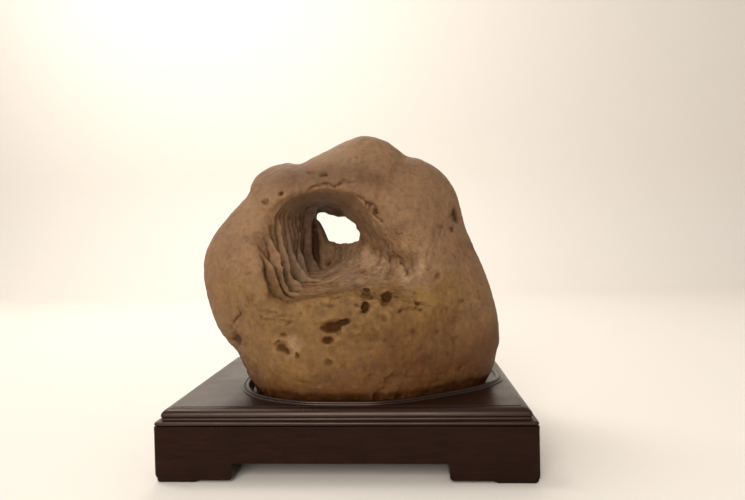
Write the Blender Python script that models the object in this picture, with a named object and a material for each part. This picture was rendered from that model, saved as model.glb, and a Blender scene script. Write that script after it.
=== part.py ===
"""A scholars' rock on its moulded hardwood stand.

The stone is a leaning ring-like boulder, hollowed from the front by a funnel whose left
wall is worn into thin folds and whose narrow end opens through the back as a window.
It rests in a shallow seat carved in the stand's top board, inside a raised double lip.

Metres, +Z up.  The origin is the middle of the stand's footprint on the table, +X is to
the right and the hollow opens towards -Y.  Every value below is written in millimetres.
"""

from math import cos, pi, sin

import bmesh
import bpy
import numpy as np
from mathutils import Matrix, Vector

MM = 0.001

# ---- driving dimensions ------------------------------------------------------------
STAND_WIDTH = 320.0
STAND_DEPTH = 226.0
APRON_TOP = 46.9            # height of the aprons' upper edge
TOP_SURFACE = 60.7          # height of the top board's flat
PAD_HEIGHT = 1.8
GAP = 0.3                   # left between pieces that touch

APRON_THICKNESS = 34.0
CORNER_RADIUS = 2.5         # of the stand's upright corners
FOOT_OPENING_TOP = 16.0     # height of the cut between two feet
FRONT_FEET = (66.0, 73.0)   # widths of the left and the right foot, seen from the front
SIDE_FEET = (62.0, 62.0)
FOOT_RADIUS = 3.0           # of each foot's inner lower edge
FOOT_CHAMFER = (4.2, 6.5)   # width and height cut off each foot's outer lower corner
PAD_SIZE = 38.0             # of the square sole under each foot
PAD_TAPER = 3.0             # how far the sole's sides draw in towards the table
PAD_INSET = 4.4             # from the stand's outer faces

SEAT_DEPTH = 4.0            # how deep the seat is carved under the flat
SEAT_GAP = 0.8              # between the stone's foot and the seat's wall
LIP_GAP = 4.2               # from the stone's foot to the crest of the inner bead
LIP_SHIFT, LIP_SPREAD = 2.0, 4.4    # how the lip swings out at the ends, more to the right

STONE_TRIANGLES = 7600
STONE_VOXEL = 2.4


# ---- small tools ---------------------------------------------------------------------
def clear_scene():
    for thing in list(bpy.data.objects):
        bpy.data.objects.remove(thing, do_unlink=True)


def finish_material(name, colour, roughness):
    material = bpy.data.materials.new(name)
    material.use_nodes = True
    shader = material.node_tree.nodes["Principled BSDF"]
    shader.inputs["Base Color"].default_value = (*colour, 1.0)
    shader.inputs["Roughness"].default_value = roughness
    shader.inputs["Metallic"].default_value = 0.0
    return material


def add_object(name, mesh, material=None):
    thing = bpy.data.objects.new(name, mesh)
    bpy.context.scene.collection.objects.link(thing)
    if material:
        mesh.materials.append(material)
    return thing


def mesh_from_bmesh(name, shape):
    bmesh.ops.recalc_face_normals(shape, faces=shape.faces[:])
    mesh = bpy.data.meshes.new(name)
    shape.to_mesh(mesh)
    shape.free()
    return mesh


def apply_modifiers(thing):
    """Give the object the mesh that its modifiers make of it."""
    graph = bpy.context.evaluated_depsgraph_get()
    mesh = bpy.data.meshes.new_from_object(thing.evaluated_get(graph), depsgraph=graph)
    thing.modifiers.clear()
    thing.data = mesh


def smooth_step(low, high, value):
    t = np.clip((value - low) / (high - low), 0.0, 1.0)
    return t * t * (3.0 - 2.0 * t)


def smooth_max(a, b, blend):
    h = np.clip(0.5 + 0.5 * (a - b) / blend, 0.0, 1.0)
    return b * (1.0 - h) + a * h + blend * h * (1.0 - h)


def smooth_min(a, b, blend):
    return -smooth_max(-a, -b, blend)


def closed_curve(points, steps=12):
    """A smooth closed curve through the points (Catmull-Rom)."""
    p = np.array(points, dtype=float)
    before, after, later = np.roll(p, 1, 0), np.roll(p, -1, 0), np.roll(p, -2, 0)
    curve = []
    for t in np.arange(steps) / steps:
        curve.append(0.5 * (2 * p + (after - before) * t
                            + (2 * before - 5 * p + 4 * after - later) * t ** 2
                            + (3 * p - before - 3 * after + later) * t ** 3))
    return np.stack(curve, 1).reshape(-1, 2)


def polar_table(points, centre):
    """Angles and radii, about a centre, of the smooth curve through the points."""
    rel = closed_curve(points) - np.array(centre)
    angle = np.arctan2(rel[:, 1], rel[:, 0])
    order = np.argsort(angle)
    return angle[order], np.hypot(rel[:, 0], rel[:, 1])[order]


def radius_at(table, angle):
    return np.interp(angle, table[0], table[1], period=2.0 * pi)


def lump_noise(x, y, z, size, seed):
    """A smooth random swell between -1 and 1, with lumps of about the given size."""
    table = np.random.default_rng(seed).uniform(-1.0, 1.0, (16, 16, 16))
    cells, shares = [], []
    for value in (x, y, z):
        whole = np.floor(value / size)
        share = value / size - whole
        cells.append(whole.astype(int) % 16)
        shares.append(share * share * (3.0 - 2.0 * share))
    nexts = [(cell + 1) % 16 for cell in cells]
    u, v, w = shares
    near, far = [], []
    for i, layer in ((cells[0], near), (nexts[0], far)):
        for k in (cells[2], nexts[2]):
            layer.append(table[i, cells[1], k] * (1 - v) + table[i, nexts[1], k] * v)
    low = near[0] * (1 - w) + near[1] * w
    high = far[0] * (1 - w) + far[1] * w
    return low * (1 - u) + high * u


# ---- the stone's form ------------------------------------------------------------------
# Outline from the front (x, z).  The stretch below z = 64 is inside the seat, where the
# foot is cut flat; it only sets how steeply the stone goes in.
CORE = (0.0, 168.0)
OUTLINE = (
    (17, 303.5), (37, 297), (50, 287.5), (58, 281.5), (71, 278), (86, 270), (97, 259.5),
    (105, 245), (109.5, 229), (113.5, 213), (124, 190), (132.5, 167), (139.5, 142),
    (144.5, 120), (145.5, 98), (141, 83), (135, 67), (114, 40), (70, 20), (14, 14),
    (-50, 20), (-84, 42), (-99, 65), (-109.5, 86), (-120, 101), (-133, 118), (-141.5, 141),
    (-146, 168), (-144, 189.5), (-133.5, 209.5), (-119, 226.5), (-106, 240), (-98.5, 249),
    (-96.5, 258), (-90.5, 267.5), (-79, 275.5), (-64, 279.5), (-48, 279), (-33, 285.5),
    (-16, 292), (1, 299),
)
BODY_POWER = 2.5            # 2 is an ellipse in depth, more is fuller
FRONT_DEPTH = (110.0, 72.0)    # at the seat and at the crown
BACK_DEPTH = (98.0, 62.0)
RIGHT_RECESS = 0.36         # how far the front falls back towards the right flank,
RECESS_FROM, RECESS_TO = 15.0, 135.0    # between these places (x)
SEAT_LEVEL = TOP_SURFACE - SEAT_DEPTH + GAP
CROWN_LEVEL = 300.0
SWELLS = ((2.2, 58.0, 3), (1.2, 27.0, 5))      # height, size and seed of the broad lumps

# The hollow: its mouth and its narrow neck, as outlines (x, z) at two depths.
MOUTH_Y, NECK_Y, BACK_Y = -72.0, 46.0, 95.0
NECK_SKEW = 42.0            # how much nearer the front the window's right side stands
SKEW_FROM, SKEW_TO = -38.0, 12.0
MOUTH_CENTRE, NECK_CENTRE = (2.0, 196.0), (-19.0, 211.0)
MOUTH = ((-67, 211), (-67, 181), (-62, 160), (-49, 149), (-33, 153), (-6, 156), (33, 156),
         (60, 156), (69, 167), (55, 189), (41, 206), (31, 223), (13, 240), (-8, 246),
         (-36, 245), (-57, 236))
NECK = ((-42, 230.5), (-42.5, 222), (-41, 213), (-40.5, 206), (-37.5, 202), (-31, 200.5), (-22, 196),
        (-14, 195.5), (-2, 196.5), (6.5, 199.5), (8, 207), (5, 215.5), (-1, 221.5), (-12, 225),
        (-30, 229))
BACK_FLARE = 1.75           # the back mouth's size against the neck's
BOWL_BELOW, BOWL_ABOVE, BOWL_LEFT, BOWL_RIGHT = 0.85, 0.3, 0.25, 0.5    # how the funnel widens
WALL_RECESS = 6.5           # how far the left wall lies back behind the folds

# Thin folds on the hollow's left wall: depth (y), half thickness, and the crest seen from
# the front as (x, z) points from top to bottom.
FOLD_CENTRE = (-8.0, 203.0)
FOLD_LEAN = 0.12            # the folds lie deeper lower down
FOLD_FLARE = 0.2            # how fast a fold thickens behind its crest
FOLDS = (
    (-70, 2.4, ((-84, 200), (-73, 190), (-64, 177), (-57, 154), (-45, 145), (-31, 142), (-22, 136))),
    (-60, 2.4, ((-76, 214), (-67, 202), (-60.5, 188), (-57.5, 176), (-52.5, 154), (-45, 152),
                (-34, 144))),
    (-42, 2.8, ((-67, 228), (-60.5, 216), (-56.5, 186), (-46, 161), (-42, 155), (-30, 146))),
    (-20, 3.4, ((-46, 246), (-56, 232), (-61, 220), (-57, 200), (-50, 177), (-42, 163.5),
                (-30, 161.5), (-18, 158.5), (-6, 150))),
    (2, 2.2, ((-60, 207), (-53.4, 199.5), (-49.3, 182), (-44.2, 163.8), (-34, 152))),
    (28, 6.0, ((-32, 241), (-38, 233), (-44, 205), (-40.5, 176), (-31.5, 163), (-20, 150))),
)

# The deep pocket between two of the folds, low on the left.
POCKET, POCKET_SIZE = (-64.0, -51.0, 168.0), (13.0, 5.5, 17.0)

# The tongue of stone in the window's lower left corner, and the slot beside it.  Above
# CURTAIN_BEND the tongue leans to the left.
CURTAIN, CURTAIN_SIZE = (-34.0, 36.0, 190.0), (5.6, 8.5, 33.0)
CURTAIN_BEND, CURTAIN_LEAN = 200.0, 0.3
SLOT, SLOT_SIZE = (-41.0, 43.0, 199.0), (2.2, 11.0, 19.0)

# How softly the face turns into the hollow: on the left, and how much more elsewhere.
RIM_LEFT, RIM_BELOW, RIM_RIGHT = 16.0, 13.0, 20.0

# The rough, broken ground at the hollow's lower right: centre, size, lump height and size.
CRUMBS, CRUMBS_SIZE, CRUMB_HEIGHT, CRUMB_SIZE = (44.0, 172.0), (46.0, 38.0), 3.0, 12.0

# Pits on the front face: x, z, half width, half height, depth.
PITS = (
    (-10, 126, 9.5, 5.2, 5.0), (0, 130, 5, 3.5, 3.5), (-13.5, 115.5, 5.5, 3.8, 4.0),
    (24.5, 117.5, 9, 6, 2.0), (-55, 108.5, 6.5, 4.5, 3.2), (-49, 104.5, 3.5, 3, 3.0),
    (-41, 102, 2.8, 3, 2.6), (-12, 96, 4, 3.2, 2.4), (-28, 92, 3.5, 7, 1.6),
    (37, 149, 4.8, 5.4, 5.0), (20, 152.5, 4.6, 2.8, 2.8), (18.5, 141, 3.8, 4.2, 3.6),
    (4.5, 132, 4, 3, 2.4), (-79, 148.5, 4, 6.5, 3.0), (-92, 112.5, 6, 7, 3.0),
    (-70.5, 126, 6.5, 6, 1.5), (-13, 158, 7, 3.4, 1.8), (84, 165, 4, 3, 1.6),
    (103, 143, 3, 3.5, 1.6), (58, 141, 16, 2.4, 1.4), (-52, 119, 6, 2.2, 1.4),
    (-56, 136, 9, 1.8, 1.8), (-50, 130.5, 8, 1.6, 1.6),
    (104, 222, 6, 9, 5.0), (98, 208, 3, 4, 2.6), (86, 211, 2.6, 3.2, 2.0),
    (-73, 236, 3, 3.2, 2.6), (-58, 243.5, 3, 2.6, 2.4), (-30, 262, 4.5, 2.6, 1.8),
    (-18, 260, 4, 2.6, 2.0), (12, 277, 3, 2.6, 1.4), (118, 128, 9, 6, 1.6),
    (72, 92, 12, 8, 1.4),
)


def boulder(x, y, z):
    """Distance outside the whole boulder, before anything is worn out of it."""
    dx, dz = x - CORE[0], z - CORE[1]
    reach = np.hypot(dx, dz)
    edge = radius_at(BOULDER_EDGE, np.arctan2(dz, dx))
    height = np.clip((z - SEAT_LEVEL) / (CROWN_LEVEL - SEAT_LEVEL), 0.0, 1.0)
    front = FRONT_DEPTH[0] + (FRONT_DEPTH[1] - FRONT_DEPTH[0]) * height
    back = BACK_DEPTH[0] + (BACK_DEPTH[1] - BACK_DEPTH[0]) * height
    front = front * (1.0 - RIGHT_RECESS * (1.0 - 0.5 * height) * smooth_step(RECESS_FROM, RECESS_TO, x))
    half = np.where(y < 0, front, back)
    stretch = ((reach / edge) ** BODY_POWER + np.abs(y / half) ** BODY_POWER)
    stretch = np.maximum(stretch, 1e-9) ** (1.0 / BODY_POWER)
    span = np.sqrt(reach ** 2 + y ** 2)
    return span - span / stretch


def neck_depth(x):
    """The window stands askew: its right side is nearer the front than its left."""
    return NECK_Y - NECK_SKEW * smooth_step(SKEW_FROM, SKEW_TO, x)


def hollow_section(x, y):
    """Centre (x, z) of the hollow at a place, and how far it is from neck to mouth."""
    neck = neck_depth(x)
    share = np.clip((neck - y) / (neck - MOUTH_Y), 0.0, 1.0)
    centre_x = NECK_CENTRE[0] + (MOUTH_CENTRE[0] - NECK_CENTRE[0]) * share
    centre_z = NECK_CENTRE[1] + (MOUTH_CENTRE[1] - NECK_CENTRE[1]) * share
    return centre_x, centre_z, share


def hollow_radius(angle, x, y, share):
    """Half width of the hollow towards an angle: a bowl below, a trumpet to the right."""
    near = radius_at(MOUTH_EDGE, angle)
    far = radius_at(NECK_EDGE, angle)
    bowl = 1.0 - BOWL_BELOW * smooth_step(-0.1, 0.9, -np.sin(angle))
    bowl = bowl - BOWL_ABOVE * smooth_step(0.2, 1.0, np.sin(angle))
    bowl = bowl + BOWL_LEFT * smooth_step(0.6, 1.0, -np.cos(angle))
    bowl = bowl + BOWL_RIGHT * smooth_step(0.2, 0.9, np.cos(angle))
    neck = neck_depth(x)
    flare = 1.0 + (BACK_FLARE - 1.0) * np.clip((y - neck) / (BACK_Y - neck), 0, 1.2) ** 1.5
    return (far + (near - far) * share ** bowl) * flare


def hollow(x, y, z):
    """Distance outside the hollow's space; negative inside it."""
    centre_x, centre_z, share = hollow_section(x, y)
    dx, dz = x - centre_x, z - centre_z
    angle = np.arctan2(dz, dx)
    left = smooth_step(0.05, 0.75, np.cos(angle - pi * 1.07)) * smooth_step(241.0, 222.0, z)
    recess = WALL_RECESS * left * smooth_step(-86.0, -70.0, y) * smooth_step(44.0, 30.0, y)
    return np.hypot(dx, dz) - hollow_radius(angle, x, y, share) - recess


def fold_edge(points):
    """A fold's crest as angles and radii about the folds' centre."""
    rel = np.array(points, dtype=float) - np.array(FOLD_CENTRE)
    return np.mod(np.arctan2(rel[:, 1], rel[:, 0]), 2.0 * pi), np.hypot(rel[:, 0], rel[:, 1])


def folds(x, y, z):
    """Distance outside the folds, which grow thicker towards the wall behind them."""
    dx, dz = x - FOLD_CENTRE[0], z - FOLD_CENTRE[1]
    reach = np.hypot(dx, dz)
    angle = np.mod(np.arctan2(dz, dx), 2.0 * pi)
    nearest = np.full(x.shape, 99.0)
    for (depth, thickness, _), (angles, radii) in zip(FOLDS, FOLD_EDGES):
        hidden = radii.max() + 60.0
        crest = np.interp(angle, angles, radii, left=hidden, right=hidden)
        off = np.abs(y - depth + FOLD_LEAN * (z - 190.0) + 1.6 * np.sin(z / 13.0 + depth))
        wedge = thickness + FOLD_FLARE * np.clip(reach - crest, 0.0, 14.0)
        nearest = smooth_min(nearest, smooth_max(crest - reach, off - wedge, 2.4), 2.0)
    return nearest


def oval(x, y, z, centre, size):
    """Rough distance outside an egg-shaped solid."""
    spread = ((x - centre[0]) / size[0]) ** 2 + ((y - centre[1]) / size[1]) ** 2
    return (np.sqrt(spread + ((z - centre[2]) / size[2]) ** 2) - 1.0) * min(size)


def curtain(x, y, z):
    """The thin tongue of stone that stands in the window's lower left corner."""
    leaning = x + CURTAIN_LEAN * np.maximum(z - CURTAIN_BEND, 0.0)
    return oval(leaning, y, z, CURTAIN, CURTAIN_SIZE)


def pits(x, y, z):
    """How deep the pits go in from the front face."""
    front = smooth_step(-10.0, -35.0, y)
    depth = 0.0
    for pit_x, pit_z, half_width, half_height, deep in PITS:
        off = ((x - pit_x) / half_width) ** 2 + ((z - pit_z) / half_height) ** 2
        depth = depth + deep * np.exp(-off ** 2 * 0.9)
    return front * depth


def crumbly(x, y, z):
    """Strength of the rough, broken ground at the hollow's lower right."""
    off = ((x - CRUMBS[0]) / CRUMBS_SIZE[0]) ** 2 + ((z - CRUMBS[1]) / CRUMBS_SIZE[1]) ** 2
    return np.exp(-off ** 2) * smooth_step(20.0, 0.0, y)


def rim_blend(x, z):
    """How softly the face turns into the hollow: sharpest on the left, slow below."""
    angle = np.arctan2(z - MOUTH_CENTRE[1], x - MOUTH_CENTRE[0])
    below = smooth_step(-0.2, 1.0, -np.sin(angle))
    right = smooth_step(0.1, 1.0, np.cos(angle))
    return RIM_LEFT + RIM_BELOW * below + RIM_RIGHT * right


def stone_field(x, y, z):
    """Distance outside the stone's surface, in millimetres."""
    solid = boulder(x, y, z)
    folded = smooth_max(folds(x, y, z), solid + 1.0, 2.0)
    for height, size, seed in SWELLS:
        solid = solid + height * lump_noise(x, y, z, size, seed)
    solid = smooth_max(solid, -hollow(x, y, z), rim_blend(x, z))
    solid = smooth_min(solid, folded, 2.5)
    solid = smooth_min(solid, curtain(x, y, z), 3.0)
    solid = smooth_max(solid, -oval(x, y, z, SLOT, SLOT_SIZE), 1.5)
    solid = smooth_max(solid, -oval(x, y, z, POCKET, POCKET_SIZE), 2.0)
    solid = solid + crumbly(x, y, z) * CRUMB_HEIGHT * lump_noise(x, y, z, CRUMB_SIZE, 8)
    solid = solid + pits(x, y, z)
    return smooth_max(solid, SEAT_LEVEL - z, 1.5)


BOULDER_EDGE = polar_table(OUTLINE, CORE)
MOUTH_EDGE = polar_table(MOUTH, MOUTH_CENTRE)
NECK_EDGE = polar_table(NECK, NECK_CENTRE)
FOLD_EDGES = [fold_edge(points) for _, _, points in FOLDS]


# ---- making the stone ---------------------------------------------------------------------
def boulder_mesh():
    """An icosphere drawn out to the boulder's surface, its foot pressed flat."""
    shape = bmesh.new()
    bmesh.ops.create_icosphere(shape, subdivisions=5, radius=1.0)
    ways = np.array([v.co[:] for v in shape.verts])
    low, high = np.zeros(len(ways)), np.full(len(ways), 400.0)
    for _ in range(40):
        middle = 0.5 * (low + high)
        x, y, z = ways[:, 0] * middle, ways[:, 1] * middle, ways[:, 2] * middle + CORE[1]
        outside = boulder(x, y, z) > 0
        high = np.where(outside, middle, high)
        low = np.where(outside, low, middle)
    for vert, way, reach in zip(shape.verts, ways, low):
        x, y, z = way * reach
        vert.co = Vector((x, y, max(z + CORE[1], SEAT_LEVEL))) * MM
    return mesh_from_bmesh("boulder", shape)


def hollow_cutter():
    """The hollow's space as a loft of rings from in front of the stone to behind it."""
    shape = bmesh.new()
    rings = []
    angles = np.linspace(0.0, 2.0 * pi, 49)[:-1]
    for y in np.linspace(-125.0, 125.0, 41):
        centre_x, centre_z, share = hollow_section(NECK_CENTRE[0], y)
        reach = hollow_radius(angles, NECK_CENTRE[0], y, share)
        rings.append([shape.verts.new(Vector((centre_x + r * cos(a), y, centre_z + r * sin(a))) * MM)
                      for a, r in zip(angles, reach)])
    for ring, following in zip(rings, rings[1:]):
        for i in range(len(ring)):
            j = (i + 1) % len(ring)
            shape.faces.new((ring[i], ring[j], following[j], following[i]))
    shape.faces.new(rings[0])
    shape.faces.new(rings[-1])
    return mesh_from_bmesh("hollow_cutter", shape)


def coordinates(mesh):
    flat = np.empty(len(mesh.vertices) * 3)
    mesh.vertices.foreach_get("co", flat)
    return flat.reshape(-1, 3) / MM


def pull_to_surface(mesh, rounds=6):
    """Move every vertex along the field's slope until it lies on the stone's surface."""
    p = coordinates(mesh)
    nudge = 0.4
    for _ in range(rounds):
        value = stone_field(*p.T)
        slope = np.stack([stone_field(*(p + nudge * axis).T) - stone_field(*(p - nudge * axis).T)
                          for axis in np.eye(3)], 1) / (2.0 * nudge)
        steep = np.maximum(np.linalg.norm(slope, axis=1), 0.3)
        step = np.clip(value / steep, -2.0, 2.0)
        p = p - slope / steep[:, None] * step[:, None]
    mesh.vertices.foreach_set("co", (p * MM).ravel())
    mesh.update()


def remesh(thing, voxel):
    modifier = thing.modifiers.new("even", "REMESH")
    modifier.mode = "VOXEL"
    modifier.voxel_size = voxel * MM
    apply_modifiers(thing)


def curtain_mesh():
    """A flattened icosphere about the hanging tongue."""
    shape = bmesh.new()
    bmesh.ops.create_icosphere(shape, subdivisions=3, radius=1.0)
    for vert in shape.verts:
        vert.co = Vector([c + s * v for c, s, v in zip(CURTAIN, CURTAIN_SIZE, vert.co)]) * MM
    return mesh_from_bmesh("curtain", shape)


def combine(thing, other, operation):
    """Boolean the other object into this one, and drop the other."""
    other.hide_render = True
    other.display_type = "WIRE"
    modifier = thing.modifiers.new(operation.lower(), "BOOLEAN")
    modifier.operation = operation
    modifier.solver = "EXACT"
    modifier.object = other
    apply_modifiers(thing)
    bpy.data.objects.remove(other, do_unlink=True)


def make_stone():
    stone = add_object("stone", boulder_mesh())
    combine(stone, add_object("hollow_cutter", hollow_cutter()), "DIFFERENCE")
    combine(stone, add_object("curtain", curtain_mesh()), "UNION")
    for _ in range(3):
        remesh(stone, STONE_VOXEL)
        pull_to_surface(stone.data)
    thin = stone.modifiers.new("thin", "DECIMATE")
    thin.ratio = STONE_TRIANGLES / (2.0 * len(stone.data.polygons))
    thin.use_collapse_triangulate = True
    apply_modifiers(stone)
    stone.data.materials.clear()
    stone.data.materials.append(finish_material("weathered_stone", (0.2, 0.105, 0.05), 0.75))
    stone.data.shade_smooth()
    return stone


# ---- the stand --------------------------------------------------------------------------
FOOT_CENTRE = 12.0          # middle of the stone's foot (x)
FOOT_POINTS = 60
LIP_LEVEL = TOP_SURFACE + 2.0


def foot_outline():
    """The stone's outline where it passes between the lips, as (x, y) points."""
    angles = np.linspace(0.0, 2.0 * pi, FOOT_POINTS + 1)[:-1]
    low, high = np.zeros(FOOT_POINTS), np.full(FOOT_POINTS, STAND_WIDTH)
    for _ in range(30):
        middle = 0.5 * (low + high)
        x, y = FOOT_CENTRE + middle * np.cos(angles), middle * np.sin(angles)
        outside = boulder(x, y, np.full(FOOT_POINTS, LIP_LEVEL)) > 0
        high = np.where(outside, middle, high)
        low = np.where(outside, low, middle)
    return np.stack([FOOT_CENTRE + low * np.cos(angles), low * np.sin(angles)], 1)


def grown(outline, distance):
    """The closed outline moved outwards by a distance."""
    along = np.roll(outline, -1, 0) - np.roll(outline, 1, 0)
    along /= np.linalg.norm(along, axis=1)[:, None]
    return outline + distance * np.stack([along[:, 1], -along[:, 0]], 1)


def lip_outline(foot, distance):
    """The foot's outline grown by a distance, and drawn out at both ends of the stand."""
    points = grown(foot, distance)
    middle, half = FOOT_CENTRE, np.ptp(foot[:, 0]) / 2.0
    points[:, 0] += LIP_SHIFT + LIP_SPREAD * (points[:, 0] - middle) / half
    return points


def rounded_rectangle(half_x, half_y, radius, steps=3):
    points = []
    for quarter, (side_x, side_y) in enumerate(((1, 1), (-1, 1), (-1, -1), (1, -1))):
        for step in range(steps + 1):
            angle = (quarter + step / steps) * pi / 2.0
            points.append((side_x * (half_x - radius) + radius * cos(angle),
                           side_y * (half_y - radius) + radius * sin(angle)))
    return points


def moulding_profile():
    """Inward offset and height up the top board's edge: bead, cove, shoulder, quirk."""
    low = APRON_TOP + GAP
    bead = [(1.7 - 1.5 * cos(a), low + 1.7 + 1.7 * sin(a))
            for a in np.linspace(-pi / 2.0, pi / 2.0, 7)]
    cove = [(3.6, low + 3.5), (4.7, low + 4.3), (5.1, low + 5.6), (4.6, low + 6.7)]
    shoulder_low, shoulder_high = low + 6.9, TOP_SURFACE - 0.5
    shoulder = [(11.2 - 7.0 * cos(a), shoulder_low + (shoulder_high - shoulder_low) * sin(a))
                for a in np.linspace(0.0, pi / 2.0, 7)]
    return bead + cove + shoulder + [(11.7, TOP_SURFACE - 0.4), (11.7, TOP_SURFACE)]


def lip_profile():
    """Distance from the stone's foot and height over the lip, outside to inside."""
    crest = LIP_GAP
    return ((crest + 5.6, 0.0), (crest + 5.0, 0.9), (crest + 4.1, 1.2), (crest + 3.2, 0.9),
            (crest + 2.7, 0.2), (crest + 2.1, 0.2), (crest + 1.2, 1.6), (crest, 2.1),
            (crest - 1.2, 1.6), (crest - 1.9, 0.3))


def ring_of(shape, points, z):
    return [shape.verts.new((x * MM, y * MM, z * MM)) for x, y in points]


def join_rings(shape, ring, following):
    for i in range(len(ring)):
        j = (i + 1) % len(ring)
        shape.faces.new((ring[i], ring[j], following[j], following[i]))


def ring_edges(shape, ring):
    return [shape.edges.get((ring[i], ring[(i + 1) % len(ring)])) for i in range(len(ring))]


def make_stand_top(wood):
    shape = bmesh.new()
    half_x, half_y = STAND_WIDTH / 2.0, STAND_DEPTH / 2.0
    outer = [ring_of(shape, rounded_rectangle(half_x - inset, half_y - inset, CORNER_RADIUS), z)
             for inset, z in moulding_profile()]
    foot = foot_outline()
    inner = [ring_of(shape, lip_outline(foot, out), TOP_SURFACE + up) for out, up in lip_profile()]
    inner.append(ring_of(shape, grown(foot, SEAT_GAP), SEAT_LEVEL - GAP))
    for rings in (outer, inner):
        for ring, following in zip(rings, rings[1:]):
            join_rings(shape, ring, following)
    shape.faces.new(outer[0])
    shape.faces.new(inner[-1])
    edges = ring_edges(shape, outer[-1]) + ring_edges(shape, inner[0])
    bmesh.ops.triangle_fill(shape, edges=edges, use_beauty=True)
    top = add_object("stand_top", mesh_from_bmesh("stand_top", shape), wood)
    top.data.shade_smooth()
    top.data.set_sharp_from_angle(angle=0.6)
    return top


def apron_outline(half_length, feet):
    """The board's face, seen from outside: a rail with a bracket foot at each end."""
    low, high = PAD_HEIGHT + GAP, FOOT_OPENING_TOP
    left, right = -half_length + feet[0], half_length - feet[1]
    outline = [(-half_length, APRON_TOP), (-half_length, low)]
    for x, side in ((left, -1), (right, 1)):
        corner = [(x + side * FOOT_RADIUS * (1 - sin(a)), low + FOOT_RADIUS * (1 - cos(a)))
                  for a in np.linspace(0.0, pi / 2.0, 4)]
        inner = [(x - side * 1.0, high), (x, high - 1.0)]
        if side < 0:
            outline += corner + inner[::-1]
        else:
            outline += inner + corner[::-1]
    return outline + [(half_length, low), (half_length, APRON_TOP)]


def cut_plane(shape, point, normal):
    """Cut away what lies on the normal's side of a plane, and close the cut."""
    everything = shape.verts[:] + shape.edges[:] + shape.faces[:]
    result = bmesh.ops.bisect_plane(shape, geom=everything, plane_co=Vector(point) * MM,
                                    plane_no=normal, clear_outer=True, dist=1e-7)
    edges = [e for e in result["geom_cut"] if isinstance(e, bmesh.types.BMEdge)]
    bmesh.ops.edgeloop_fill(shape, edges=edges)


def make_apron(name, wood, length, distance, turn, feet):
    """One board, made facing -Y with its outer face at y = -distance, then turned."""
    half, spare = length / 2.0, 2.0
    chamfer_width, chamfer_height = FOOT_CHAMFER
    chamfer_top = PAD_HEIGHT + GAP + chamfer_height
    shape = bmesh.new()
    outline = apron_outline(half + spare, (feet[0] + spare, feet[1] + spare))
    face = shape.faces.new([shape.verts.new((x * MM, -distance * MM, z * MM)) for x, z in outline])
    body = bmesh.ops.extrude_face_region(shape, geom=[face])
    moved = [v for v in body["geom"] if isinstance(v, bmesh.types.BMVert)]
    bmesh.ops.translate(shape, verts=moved, vec=(0.0, APRON_THICKNESS * MM, 0.0))
    for side in (-1.0, 1.0):
        mitre = Vector((side, 1.0, 0.0)).normalized()
        cut_plane(shape, (side * (half - GAP / 2.0), -distance, 0.0), mitre)
        for angle in (pi / 8.0, pi / 4.0):
            out = Vector((side * sin(angle), -cos(angle), 0.0))
            middle = Vector((side * (half - CORNER_RADIUS), CORNER_RADIUS - distance, 0.0))
            cut_plane(shape, middle + out * CORNER_RADIUS, out)
        slant = Vector((side * chamfer_height, 0.0, -chamfer_width)).normalized()
        cut_plane(shape, (side * half, -distance, chamfer_top), slant)
    bmesh.ops.transform(shape, matrix=Matrix.Rotation(turn, 4, "Z"), verts=shape.verts[:])
    return add_object(name, mesh_from_bmesh(name, shape), wood)


def make_pads(wood):
    """A thin sole under each foot, its edges cut back towards the table."""
    for end, side_y in (("front", -1), ("back", 1)):
        for hand, side_x in (("left", -1), ("right", 1)):
            shape = bmesh.new()
            centre = (side_x * (STAND_WIDTH / 2.0 - PAD_INSET - PAD_SIZE / 2.0),
                      side_y * (STAND_DEPTH / 2.0 - PAD_INSET - PAD_SIZE / 2.0))
            rings = []
            for half, z in ((PAD_SIZE / 2.0 - PAD_TAPER, 0.0), (PAD_SIZE / 2.0, PAD_HEIGHT)):
                points = [(centre[0] + half * i, centre[1] + half * j)
                          for i, j in ((-1, -1), (1, -1), (1, 1), (-1, 1))]
                rings.append(ring_of(shape, points, z))
            join_rings(shape, *rings)
            shape.faces.new(rings[0])
            shape.faces.new(rings[1])
            name = f"pad_{end}_{hand}"
            add_object(name, mesh_from_bmesh(name, shape), wood)


def make_stand():
    wood = finish_material("dark_hardwood", (0.03, 0.016, 0.011), 0.3)
    make_stand_top(wood)
    make_apron("apron_front", wood, STAND_WIDTH, STAND_DEPTH / 2.0, 0.0, FRONT_FEET)
    make_apron("apron_back", wood, STAND_WIDTH, STAND_DEPTH / 2.0, pi, FRONT_FEET[::-1])
    make_apron("apron_right", wood, STAND_DEPTH, STAND_WIDTH / 2.0, pi / 2.0, SIDE_FEET)
    make_apron("apron_left", wood, STAND_DEPTH, STAND_WIDTH / 2.0, -pi / 2.0, SIDE_FEET)
    make_pads(finish_material("foot_sole", (0.03, 0.018, 0.014), 0.6))


clear_scene()
make_stone()
make_stand()
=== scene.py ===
"""A scholars' rock resting in the carved seat of its moulded hardwood stand.

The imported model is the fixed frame.  The stone's surface is worn again here in fine
detail, the stand's boards get their mouldings, softened edges and lacquer, and a plain
pale studio stands around them.  Forms are worked out in millimetres, frame axes.
"""

from math import cos, pi, radians, sin

import bmesh
import bpy
import numpy as np
from mathutils import Matrix, Vector


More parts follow.
